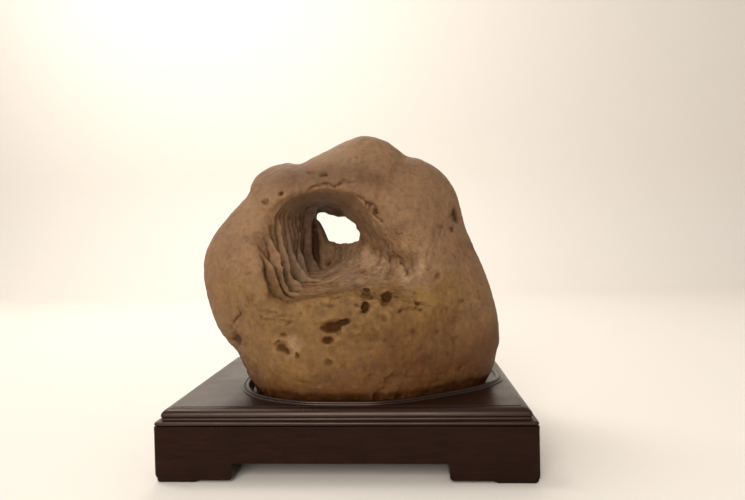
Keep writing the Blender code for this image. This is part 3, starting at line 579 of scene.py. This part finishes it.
class Recipe:
    """A material under construction: each step adds nodes and gives back their output."""

    def __init__(self, name):
        self.material = bpy.data.materials.new(name)
        self.material.use_nodes = True
        self.tree = self.material.node_tree
        self.shader = self.tree.nodes["Principled BSDF"]
        self.place = self.add("ShaderNodeTexCoord").outputs["Object"]

    def add(self, kind, inputs=(), **settings):
        node = self.tree.nodes.new(kind)
        for key, value in settings.items():
            setattr(node, key, value)
        for key, value in dict(inputs).items():
            self.feed(node.inputs[key], value)
        return node

    def feed(self, socket, value):
        if isinstance(value, bpy.types.NodeSocket):
            self.tree.links.new(value, socket)
        else:
            socket.default_value = value

    def layer(self, name):
        return self.add("ShaderNodeAttribute", attribute_name=name).outputs["Fac"]

    def noise(self, size, detail=4.0, rough=0.55, squeeze=(1, 1, 1)):
        """Noise whose lumps are about size millimetres across, longer where squeeze is low."""
        scale = [s / (size * MM) for s in squeeze]
        at = self.add("ShaderNodeMapping", {"Vector": self.place, "Scale": scale}).outputs[0]
        node = self.add("ShaderNodeTexNoise", {"Vector": at, "Scale": 1.0, "Detail": detail,
                                               "Roughness": rough})
        return node.outputs["Fac"]

    def cells(self, size, wander):
        """Distance from the cracks between lumps about size millimetres across."""
        scale = 1.0 / (size * MM)
        drift = self.add("ShaderNodeTexNoise", {"Vector": self.place, "Scale": scale})
        at = self.add("ShaderNodeVectorMath", {0: drift.outputs["Color"], 1: (wander * MM,) * 3,
                                               2: self.place}, operation="MULTIPLY_ADD")
        node = self.add("ShaderNodeTexVoronoi", {"Vector": at.outputs[0], "Scale": scale},
                        feature="DISTANCE_TO_EDGE")
        return node.outputs["Distance"]

    def remap(self, value, low, high, to_low=0.0, to_high=1.0):
        node = self.add("ShaderNodeMapRange", {"Value": value, "From Min": low, "From Max": high,
                                               "To Min": to_low, "To Max": to_high})
        return node.outputs["Result"]

    def times(self, a, b):
        return self.add("ShaderNodeMath", {0: a, 1: b}, operation="MULTIPLY").outputs[0]

    def blend(self, share, under, over, mode="MIX"):
        """Lay one colour over another; sockets 6, 7 and 2 are the node's colour sockets."""
        node = self.add("ShaderNodeMix", {"Factor": share, 6: under, 7: over},
                        data_type="RGBA", blend_type=mode)
        return node.outputs[2]

    def bump(self, height, distance, under=None):
        inputs = {"Height": height, "Distance": distance * MM, "Strength": 1.0}
        if under is not None:
            inputs["Normal"] = under
        return self.add("ShaderNodeBump", inputs).outputs["Normal"]


def stone_finish():
    """Matt, faintly waxed stone: brown above, ochre on the belly, rusty at the foot."""
    recipe = Recipe("weathered_stone")
    broad, medium, fine = recipe.noise(60), recipe.noise(16), recipe.noise(4.5, 6, 0.65)
    tint = recipe.blend(recipe.remap(broad, 0.35, 0.65), colour(120, 88, 60), colour(131, 98, 66))
    ochre = recipe.blend(recipe.remap(medium, 0.35, 0.65), colour(105, 73, 35), colour(125, 91, 45))
    # Painted shade on the brow over the hollow.
    tint = recipe.blend(recipe.times(recipe.layer("brow"), 0.85), tint, colour(98, 68, 43))
    tint = recipe.blend(recipe.layer("ochre"), tint, ochre)
    tint = recipe.blend(recipe.times(recipe.layer("rust"), 0.85), tint, colour(86, 47, 8))
    tint = recipe.blend(recipe.times(recipe.layer("grey"), 0.85), tint, colour(132, 113, 101))
    tint = recipe.blend(recipe.times(recipe.layer("pale"), 0.8), tint, colour(172, 138, 106))

    spots = recipe.remap(recipe.noise(22, 5, 0.65), 0.54, 0.66)
    tint = recipe.blend(recipe.times(spots, 0.5), tint, colour(84, 54, 30))
    flecks = recipe.remap(recipe.noise(6.5, 5, 0.6), 0.57, 0.68)
    tint = recipe.blend(recipe.times(flecks, 0.35), tint, colour(72, 44, 22))
    # Painted shade and grime: a dark brown over the crevices, pits, the hollow's depths, the pocket
    # and the foot.
    tint = recipe.blend(recipe.times(recipe.layer("grime_and_shade"), 0.88), tint, colour(54, 28, 11))
    # Wear and a painted highlight: paler on the bulging edges.
    tint = recipe.blend(recipe.times(recipe.layer("worn"), 0.35), tint, colour(152, 116, 80))

    lumps = recipe.cells(7.0, 22.0)
    broken = recipe.times(recipe.layer("crumbly"), recipe.remap(recipe.noise(13, 3), 0.44, 0.6))
    # Painted shade: dark lines in the cracks between the crumbly lumps, where shade falls.
    cracks = recipe.times(recipe.remap(lumps, 0.0, 0.2, 1.0, 0.0), broken)
    tint = recipe.blend(recipe.times(cracks, 0.35), tint, colour(78, 48, 26))
    grain = recipe.remap(fine, 0.3, 0.7, 0.76, 1.18)
    shade = recipe.add("ShaderNodeCombineColor", {"Red": grain, "Green": grain, "Blue": grain})
    tint = recipe.blend(1.0, tint, shade.outputs[0], "MULTIPLY")

    recipe.feed(recipe.shader.inputs["Base Color"], tint)
    recipe.feed(recipe.shader.inputs["Roughness"], recipe.remap(fine, 0.3, 0.7, 0.6, 0.8))
    # Less shine where the painted shade and grime lie.
    shine = recipe.remap(recipe.layer("grime_and_shade"), 0.0, 1.0, 0.32, 0.05)
    recipe.feed(recipe.shader.inputs["Specular IOR Level"], shine)

    relief = recipe.bump(recipe.noise(8, 4, 0.62), 1.2)
    relief = recipe.bump(recipe.times(recipe.remap(lumps, 0.0, 0.45), broken), 1.1, relief)
    bedding = recipe.times(recipe.noise(2.6, 2, 0.5, (0.16, 1.0, 0.2)), recipe.layer("inside"))
    relief = recipe.bump(bedding, 0.7, relief)
    relief = recipe.bump(recipe.noise(1.8, 3, 0.6), 0.22, relief)
    recipe.feed(recipe.shader.inputs["Normal"], relief)
    return recipe.material


stone.data.materials.clear()
stone.data.materials.append(stone_finish())
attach(stone, "root")
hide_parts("stone")


# ==== The stand's top board =================================================================
# A dark lacquered hardwood board.  Its edge is moulded by hand with a bead, a cove and a
# shoulder, and its flat is carved with a shallow seat inside a raised double lip.

STAND_WIDTH, STAND_DEPTH = 320.0, 226.0
CORNER_RADIUS = 2.5         # of the stand's upright corners
APRON_TOP = 46.9            # height of the aprons' upper edge
TOP_SURFACE = 60.7          # height of the board's flat
GAP = 0.3                   # left between pieces that touch
SEAT_GAP = 0.8              # between the stone's foot and the seat's wall

# The moulding round the board's edge: insets from the stand's sides, and heights over the
# board's underside for the bead, the cove and the shoulder's foot.
BEAD_INSET, BEAD_HALF_WIDTH, BEAD_HALF_HEIGHT = 1.7, 1.5, 1.7
COVE = ((3.4, 3.5), (4.3, 3.9), (4.9, 4.7), (5.1, 5.6), (4.7, 6.5))
SHOULDER_INSET, SHOULDER_WIDTH, SHOULDER_FOOT = 11.2, 7.0, 6.9
SHOULDER_DROP = 0.5         # from the flat down to the shoulder's top
QUIRK = ((11.6, 0.45), (11.9, 0.1), (12.6, 0.0))    # insets, and depths under the flat
CREASE_ANGLE = 0.7          # radians; steeper edges of the moulding shade crisp

# The lip follows the stone's foot at this distance, drawn out at both ends.  Each of its
# beads has a distance further out, a half width, a height and a raise over the flat.
LIP_GAP = 4.2
LIP_SHIFT, LIP_SPREAD = 2.0, 4.4
FOOT_CENTRE = 12.0          # x of the middle of the stone's foot
FOOT_POINTS = 240
LIP_EDGE, LIP_VALLEY = ((6.4, 0.0), (5.8, 0.05)), (2.4, 0.25)
OUTER_BEAD, INNER_BEAD = (4.1, 1.4, 1.2, 0.0), (0.1, 2.0, 2.0, 0.2)


def foot_outline(count):
    """The stone's outline where it passes between the lips, as (x, y) points."""
    angles = np.linspace(0.0, 2.0 * pi, count + 1)[:-1]
    low, high = np.zeros(count), np.full(count, STAND_WIDTH)
    for _ in range(30):
        middle = 0.5 * (low + high)
        x, y = FOOT_CENTRE + middle * np.cos(angles), middle * np.sin(angles)
        outside = boulder(x, y, np.full(count, TOP_SURFACE + 2.0)) > 0
        high = np.where(outside, middle, high)
        low = np.where(outside, low, middle)
    return np.stack([FOOT_CENTRE + low * np.cos(angles), low * np.sin(angles)], 1)


def grown(outline, distance):
    """The closed outline moved outwards by a distance."""
    along = np.roll(outline, -1, 0) - np.roll(outline, 1, 0)
    along /= np.linalg.norm(along, axis=1)[:, None]
    return outline + distance * np.stack([along[:, 1], -along[:, 0]], 1)


def lip_outline(foot, distance):
    """The foot's outline grown by a distance, and drawn out at both ends of the stand."""
    points = grown(foot, distance)
    half_length = np.ptp(foot[:, 0]) / 2.0
    points[:, 0] += LIP_SHIFT + LIP_SPREAD * (points[:, 0] - FOOT_CENTRE) / half_length
    return points


def board_outline(half_x, half_y, radius, steps=5, cuts=32):
    """A rectangle with rounded corners, its straight sides cut into short stretches."""
    arcs = []
    for quarter, (side_x, side_y) in enumerate(((1, 1), (-1, 1), (-1, -1), (1, -1))):
        for step in range(steps + 1):
            angle = (quarter + step / steps) * pi / 2.0
            arcs.append((side_x * (half_x - radius) + radius * cos(angle),
                         side_y * (half_y - radius) + radius * sin(angle)))
    points = []
    for i, ((x0, y0), (x1, y1)) in enumerate(zip(arcs, arcs[1:] + arcs[:1])):
        parts = cuts if i % (steps + 1) == steps else 1
        points += [(x0 + (x1 - x0) * j / parts, y0 + (y1 - y0) * j / parts) for j in range(parts)]
    return points


def moulding_profile():
    """Inward offset and height up the top board's edge: bead, cove, shoulder, quirk."""
    low = APRON_TOP + GAP
    bead = [(BEAD_INSET - BEAD_HALF_WIDTH * cos(a), low + BEAD_HALF_HEIGHT * (1.0 + sin(a)))
            for a in np.linspace(-pi / 2.0, pi / 2.0, 13)]
    cove = [(inset, low + up) for inset, up in COVE]
    foot = low + SHOULDER_FOOT
    rise = TOP_SURFACE - SHOULDER_DROP - foot
    shoulder = [(SHOULDER_INSET - SHOULDER_WIDTH * cos(a), foot + rise * sin(a))
                for a in np.linspace(0.0, pi / 2.0, 13)]
    return bead + cove + shoulder + [(inset, TOP_SURFACE - down) for inset, down in QUIRK]


def lip_profile():
    """Distance from the stone's foot and height over the lip, outside to inside."""
    profile = list(LIP_EDGE)
    out, half_width, height, lift = OUTER_BEAD
    profile += [(out + half_width * cos(a), lift + height * sin(a))
                for a in np.linspace(0.0, pi, 9)[:-1]]
    profile.append(LIP_VALLEY)
    out, half_width, height, lift = INNER_BEAD
    profile += [(out + half_width * cos(a), lift + height * sin(a))
                for a in np.linspace(0.1, pi, 11)]
    return [(LIP_GAP + out, up) for out, up in profile]


def ring_of(shape, points, z):
    """Corners for one level outline."""
    return [shape.verts.new((x * MM, y * MM, z * MM)) for x, y in points]


def join_rings(shape, ring, following):
    """A band of faces between two outlines with as many corners."""
    for i in range(len(ring)):
        j = (i + 1) % len(ring)
        shape.faces.new((ring[i], ring[j], following[j], following[i]))


def ring_edges(shape, ring):
    return [shape.edges.get((ring[i], ring[(i + 1) % len(ring)])) for i in range(len(ring))]


def mesh_from_bmesh(name, shape):
    bmesh.ops.recalc_face_normals(shape, faces=shape.faces[:])
    mesh = bpy.data.meshes.new(name)
    shape.to_mesh(mesh)
    shape.free()
    return mesh


def even_light(thing):
    """Let the broad faces shade flat, and the roundings turn smoothly into them."""
    modifier = thing.modifiers.new("even_light", "WEIGHTED_NORMAL")
    modifier.keep_sharp = True
    apply_modifiers(thing)


def make_top_board():
    """The moulded edge and the carved seat, each a stack of outlines, and the flat between."""
    shape = bmesh.new()
    outer = []
    for inset, z in moulding_profile():
        outline = board_outline(STAND_WIDTH / 2.0 - inset, STAND_DEPTH / 2.0 - inset, CORNER_RADIUS)
        outer.append(ring_of(shape, outline, z))
    foot = foot_outline(FOOT_POINTS)
    inner = [ring_of(shape, lip_outline(foot, out), TOP_SURFACE + up) for out, up in lip_profile()]
    inner.append(ring_of(shape, grown(foot, SEAT_GAP), SEAT_LEVEL - GAP))
    for rings in (outer, inner):
        for ring, following in zip(rings, rings[1:]):
            join_rings(shape, ring, following)
    shape.faces.new(outer[0])
    shape.faces.new(inner[-1])
    edges = ring_edges(shape, outer[-1]) + ring_edges(shape, inner[0])
    for edge in edges:
        edge.smooth = False
    bmesh.ops.triangle_fill(shape, edges=edges, use_beauty=True)
    for face in shape.faces:
        face.smooth = True
    for edge in shape.edges:
        if len(edge.link_faces) == 2 and edge.calc_face_angle(0.0) > CREASE_ANGLE:
            edge.smooth = False
    mesh = mesh_from_bmesh("moulded_top_board", shape)
    top = bpy.data.objects.new("moulded_top_board", mesh)
    bpy.context.scene.collection.objects.link(top)
    even_light(top)
    return top


GRAIN_ALONG_X, GRAIN_ALONG_Y = (0.12, 1.0, 1.0), (1.0, 0.12, 1.0)


def lacquer_finish(name, grain_way, shine):
    """Nearly black brown hardwood under a thin lacquer, its grain along one axis."""
    recipe = Recipe(name)
    streaks = recipe.noise(3.0, 5, 0.6, grain_way)
    pores = recipe.noise(0.9, 3, 0.6, grain_way)
    clouds = recipe.noise(55, 3)
    tint = recipe.blend(recipe.remap(streaks, 0.35, 0.68), colour(24, 11, 7), colour(38, 19, 12))
    tint = recipe.blend(recipe.remap(clouds, 0.4, 0.62, 0.0, 0.5), tint, colour(25, 12, 7))
    tint = recipe.blend(recipe.remap(pores, 0.6, 0.72, 0.0, 0.6), tint, colour(11, 6, 4))
    recipe.feed(recipe.shader.inputs["Base Color"], tint)
    recipe.feed(recipe.shader.inputs["Roughness"], recipe.remap(clouds, 0.35, 0.65, 0.25, 0.38))
    recipe.shader.inputs["Specular IOR Level"].default_value = shine
    recipe.shader.inputs["Specular Tint"].default_value = (1.0, 0.76, 0.62, 1.0)
    waves = recipe.bump(recipe.noise(38, 2, 0.5, grain_way), 0.35)
    recipe.feed(recipe.shader.inputs["Normal"], recipe.bump(pores, 0.05, waves))
    return recipe.material


top_board = make_top_board()
top_board.data.materials.append(lacquer_finish("lacquered_board", GRAIN_ALONG_X, 0.42))
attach(top_board, "root")
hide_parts("stand_top")


# ==== The aprons ==============================================================================
# Four thick boards of the same wood, mitred and glued at the corners.  The underside of
# each is cut away between its two feet, and its outer edges are eased with a scraper.

FOOT_LEVEL = 2.1            # underside of the wooden feet
FOOT_OPENING_TOP = 16.0
FOOT_RADIUS = 3.0           # of each foot's inner lower edge
OPENING_BEVEL = 1.0         # in the opening's upper corners
FOOT_CHAMFER = (4.2, 6.5)   # width and height cut off each foot's outer lower corner
APRON_THICKNESS = 34.0
EASED_EDGE = 0.5
EASED_ANGLE, CRISP_ANGLE = 0.6, 0.5     # radians; steeper edges are eased, or shade crisp
MITRE_GAP = 0.03            # left at each board's end
FRONT_FEET, SIDE_FEET = (66.0, 73.0), (62.0, 62.0)   # widths, left and right


def apron_outline(half_length, feet):
    """The board's face, seen from outside: a rail with a bracket foot at each end."""
    low, high = FOOT_LEVEL, FOOT_OPENING_TOP
    left, right = -half_length + feet[0], half_length - feet[1]
    outline = [(-half_length, APRON_TOP), (-half_length, low)]
    for x, side in ((left, -1), (right, 1)):
        corner = [(x + side * FOOT_RADIUS * (1 - sin(a)), low + FOOT_RADIUS * (1 - cos(a)))
                  for a in np.linspace(0.0, pi / 2.0, 6)]
        inner = [(x - side * OPENING_BEVEL, high), (x, high - OPENING_BEVEL)]
        if side < 0:
            outline += corner + inner[::-1]
        else:
            outline += inner + corner[::-1]
    return outline + [(half_length, low), (half_length, APRON_TOP)]


def cut_plane(shape, point, normal):
    """Cut away what lies on the normal's side of a plane, and close the cut."""
    everything = shape.verts[:] + shape.edges[:] + shape.faces[:]
    result = bmesh.ops.bisect_plane(shape, geom=everything, plane_co=Vector(point) * MM,
                                    plane_no=normal, clear_outer=True, dist=1e-7)
    edges = [e for e in result["geom_cut"] if isinstance(e, bmesh.types.BMEdge)]
    bmesh.ops.edgeloop_fill(shape, edges=edges)


def mitre_edge(edge):
    """Whether the edge belongs to a mitred end, which stays crisp."""
    return any(abs(abs(face.normal.x) - abs(face.normal.y)) < 0.01 and face.normal.y > 0.5
               for face in edge.link_faces)


def make_apron(side, half, distance, turn, feet, finish):
    """One board of half length half, made facing -Y at y = -distance, then turned."""
    spare = 2.0                     # made this much longer, and cut off at the mitres
    shape = bmesh.new()
    outline = apron_outline(half + spare, (feet[0] + spare, feet[1] + spare))
    corners = [shape.verts.new((x * MM, -distance * MM, z * MM)) for x, z in outline]
    body = bmesh.ops.extrude_face_region(shape, geom=[shape.faces.new(corners)])
    moved = [v for v in body["geom"] if isinstance(v, bmesh.types.BMVert)]
    bmesh.ops.translate(shape, verts=moved, vec=(0.0, APRON_THICKNESS * MM, 0.0))
    for end in (-1.0, 1.0):
        mitre = Vector((end, 1.0, 0.0)).normalized()
        cut_plane(shape, (end * (half - MITRE_GAP), -distance, 0.0), mitre)
        middle = Vector((end * (half - CORNER_RADIUS), CORNER_RADIUS - distance, 0.0))
        for angle in np.linspace(0.0, pi / 4.0, 5)[1:]:
            out = Vector((end * sin(angle), -cos(angle), 0.0))
            cut_plane(shape, middle + out * CORNER_RADIUS, out)
        width, height = FOOT_CHAMFER
        chamfer = Vector((end * height, 0.0, -width)).normalized()
        cut_plane(shape, (end * half, -distance, FOOT_LEVEL + height), chamfer)
    sharp = [e for e in shape.edges if len(e.link_faces) == 2
             and e.calc_face_angle(0.0) > EASED_ANGLE and not mitre_edge(e)]
    bmesh.ops.bevel(shape, geom=sharp, offset=EASED_EDGE * MM, segments=2, profile=0.5,
                    affect="EDGES")
    bmesh.ops.transform(shape, matrix=Matrix.Rotation(turn, 4, "Z"), verts=shape.verts[:])
    name = f"{side}_apron_board"
    mesh = mesh_from_bmesh(name, shape)
    mesh.shade_smooth()
    mesh.set_sharp_from_angle(angle=CRISP_ANGLE)
    apron = bpy.data.objects.new(name, mesh)
    bpy.context.scene.collection.objects.link(apron)
    even_light(apron)
    apron.data.materials.append(finish)
    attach(apron, "root")
    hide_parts(f"apron_{side}")


along_x = lacquer_finish("lacquered_apron_long", GRAIN_ALONG_X, 0.12)
along_y = lacquer_finish("lacquered_apron_short", GRAIN_ALONG_Y, 0.12)
make_apron("front", STAND_WIDTH / 2.0, STAND_DEPTH / 2.0, 0.0, FRONT_FEET, along_x)
make_apron("back", STAND_WIDTH / 2.0, STAND_DEPTH / 2.0, pi, FRONT_FEET[::-1], along_x)
make_apron("right", STAND_DEPTH / 2.0, STAND_WIDTH / 2.0, pi / 2.0, SIDE_FEET, along_y)
make_apron("left", STAND_DEPTH / 2.0, STAND_WIDTH / 2.0, -pi / 2.0, SIDE_FEET, along_y)


# ==== The soles ===============================================================================
# A thin dark wooden sole is glued under the outer part of each foot, almost flush with the
# boards' faces.  Its edges are cut back towards the table, most of all at its inner ends.

SOLE_HEIGHT = 2.0
SOLE_LENGTH = 38.0
SOLE_INSET = 0.8            # from the boards' outer faces
SOLE_CORNER = 2.4           # cut off at the stand's corner
SOLE_OUTER_TAPER, SOLE_INNER_TAPER = 0.5, 5.0
SOLE_EASED_EDGE = 0.2


def sole_ring(shape, side_x, side_y, near, far, z):
    """The sole's outline at one height: a square with its outer corner cut off."""
    outline = [(near + SOLE_CORNER, near), (far, near), (far, far), (near, far),
               (near, near + SOLE_CORNER)]
    points = [(side_x * (STAND_WIDTH / 2.0 - in_x), side_y * (STAND_DEPTH / 2.0 - in_y))
              for in_x, in_y in outline]
    return ring_of(shape, points, z)


def sole_finish():
    recipe = Recipe("foot_sole")
    grain = recipe.noise(2.5, 4, 0.6, (0.2, 1.0, 1.0))
    tint = recipe.blend(recipe.remap(grain, 0.35, 0.65), colour(26, 17, 13), colour(40, 27, 21))
    recipe.feed(recipe.shader.inputs["Base Color"], tint)
    recipe.feed(recipe.shader.inputs["Roughness"], recipe.remap(grain, 0.3, 0.7, 0.5, 0.65))
    recipe.shader.inputs["Specular IOR Level"].default_value = 0.1
    recipe.feed(recipe.shader.inputs["Normal"], recipe.bump(grain, 0.08))
    return recipe.material


def make_sole(end, hand, side_x, side_y, finish):
    """One sole, resting on the table and reaching up to the foot's underside."""
    shape = bmesh.new()
    near, far = SOLE_INSET, SOLE_INSET + SOLE_LENGTH
    low = sole_ring(shape, side_x, side_y, near + SOLE_OUTER_TAPER, far - SOLE_INNER_TAPER, 0.0)
    high = sole_ring(shape, side_x, side_y, near, far, SOLE_HEIGHT)
    join_rings(shape, low, high)
    shape.faces.new(low)
    shape.faces.new(high)
    bmesh.ops.bevel(shape, geom=shape.edges[:], offset=SOLE_EASED_EDGE * MM, segments=1,
                    affect="EDGES")
    name = f"{end}_{hand}_sole"
    sole = bpy.data.objects.new(name, mesh_from_bmesh(name, shape))
    bpy.context.scene.collection.objects.link(sole)
    sole.data.materials.append(finish)
    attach(sole, "root")
    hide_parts(f"pad_{end}_{hand}")


dark_sole = sole_finish()
for end, side_y in (("front", -1), ("back", 1)):
    for hand, side_x in (("left", -1), ("right", 1)):
        make_sole(end, hand, side_x, side_y, dark_sole)


# ==== The studio ================================================================================
# A plain pale floor that sweeps up into a backdrop, one broad soft light in front, a
# little to the left, one on the backdrop, a weak one from behind, and the camera.

CAMERA_PLACE = (0.0542, -0.5675, 0.2020)
CAMERA_LEFT, CAMERA_DOWN, CAMERA_ROLL = 3.334, 1.281, 1.243    # degrees
SENSOR_WIDTH, FOCAL_LENGTH = 36.0, 27.06
UNDER_FEET = 0.0002         # the floor lies this much under the soles
WALL_Y, WALL_TOP = 1.9, 3.0
CURVE_RADIUS, HALF_WIDTH, FLOOR_FRONT = 0.5, 4.0, -4.0
PAPER = colour(232, 224, 214)
WARM, NEARLY_WHITE, SOFT_WARM = (1.0, 0.96, 0.9), (1.0, 0.99, 0.97), (1.0, 0.97, 0.93)


def paper_finish():
    recipe = Recipe("studio_paper")
    recipe.feed(recipe.shader.inputs["Base Color"], PAPER)
    recipe.shader.inputs["Roughness"].default_value = 0.7
    return recipe.material


def make_sweep():
    """Floor and wall as one sheet, joined by a wide curve."""
    curve_y = WALL_Y - CURVE_RADIUS
    profile = [(FLOOR_FRONT, 0.0), (curve_y, 0.0)]
    profile += [(curve_y + CURVE_RADIUS * sin(a), CURVE_RADIUS * (1 - cos(a)))
                for a in np.linspace(0.0, pi / 2.0, 17)[1:]]
    profile.append((WALL_Y, WALL_TOP))
    verts = [(side * HALF_WIDTH, y, z - UNDER_FEET) for y, z in profile for side in (-1, 1)]
    faces = [(2 * i, 2 * i + 1, 2 * i + 3, 2 * i + 2) for i in range(len(profile) - 1)]
    mesh = bpy.data.meshes.new("studio_sweep")
    mesh.from_pydata(verts, [], faces)
    mesh.shade_smooth()
    sweep = bpy.data.objects.new("studio_sweep", mesh)
    bpy.context.scene.collection.objects.link(sweep)
    mesh.materials.append(paper_finish())


def make_light(name, place, aim, size, power, tint):
    """A square soft light, aimed at a point."""
    light = bpy.data.lights.new(name, "AREA")
    light.shape, light.size, light.energy, light.color = "SQUARE", size, power, tint
    lamp = bpy.data.objects.new(name, light)
    bpy.context.scene.collection.objects.link(lamp)
    lamp.location = place
    lamp.rotation_euler = (Vector(aim) - Vector(place)).to_track_quat("-Z", "Y").to_euler()


def make_world():
    world = bpy.data.worlds.new("studio_air")
    world.use_nodes = True
    air = world.node_tree.nodes["Background"]
    air.inputs["Color"].default_value = (1.0, 0.97, 0.94, 1.0)
    air.inputs["Strength"].default_value = 0.5
    bpy.context.scene.world = world


def make_camera():
    lens = bpy.data.cameras.new("camera")
    lens.sensor_width, lens.lens = SENSOR_WIDTH, FOCAL_LENGTH
    camera = bpy.data.objects.new("camera", lens)
    bpy.context.scene.collection.objects.link(camera)
    turn = Matrix.Rotation(radians(CAMERA_LEFT), 4, "Z")
    tilt = Matrix.Rotation(radians(90.0 - CAMERA_DOWN), 4, "X")
    roll = Matrix.Rotation(radians(-CAMERA_ROLL), 4, "Z")
    camera.matrix_world = Matrix.Translation(CAMERA_PLACE) @ turn @ tilt @ roll
    bpy.context.scene.camera = camera


make_sweep()
make_world()
make_light("front_light", (-0.26, -1.7, 0.95), (0.0, 0.0, 0.16), 1.1, 26.0, WARM)
make_light("wall_light", (-1.1, 0.4, 2.1), (-0.1, 1.9, 1.2), 1.2, 38.0, NEARLY_WHITE)
make_light("back_light", (-0.2, 1.2, 1.3), (0.0, 0.0, 0.2), 1.0, 6.0, SOFT_WARM)
make_camera()
bpy.context.scene.view_settings.view_transform = "Standard"
